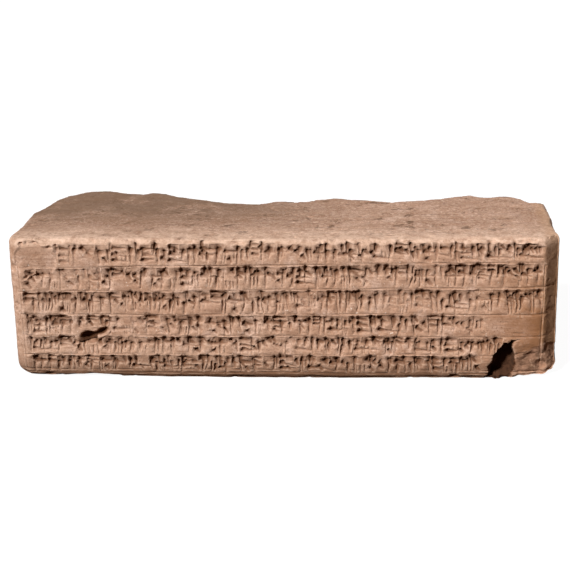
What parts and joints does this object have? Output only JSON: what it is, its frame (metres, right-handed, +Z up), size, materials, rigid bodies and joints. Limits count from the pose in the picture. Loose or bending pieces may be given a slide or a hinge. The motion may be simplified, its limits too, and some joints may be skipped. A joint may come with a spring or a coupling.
{
  "type": "inscribed brick",
  "caption": "Front of a broken fired-clay building brick, with rows of ruled wedge-shaped strokes along one long edge.",
  "frame": {"origin": "centre of the footprint, on the bed that the brick lies on", "axes": "+X along the length, +Z up, the written edge faces -Y"},
  "size_m": [0.37, 0.135, 0.1007],
  "materials": {
    "fired_clay": "unglazed, matt and slightly gritty, light reddish brown"
  },
  "bodies": {
    "root": {"brick": "fired_clay"}
  },
  "joints": []
}
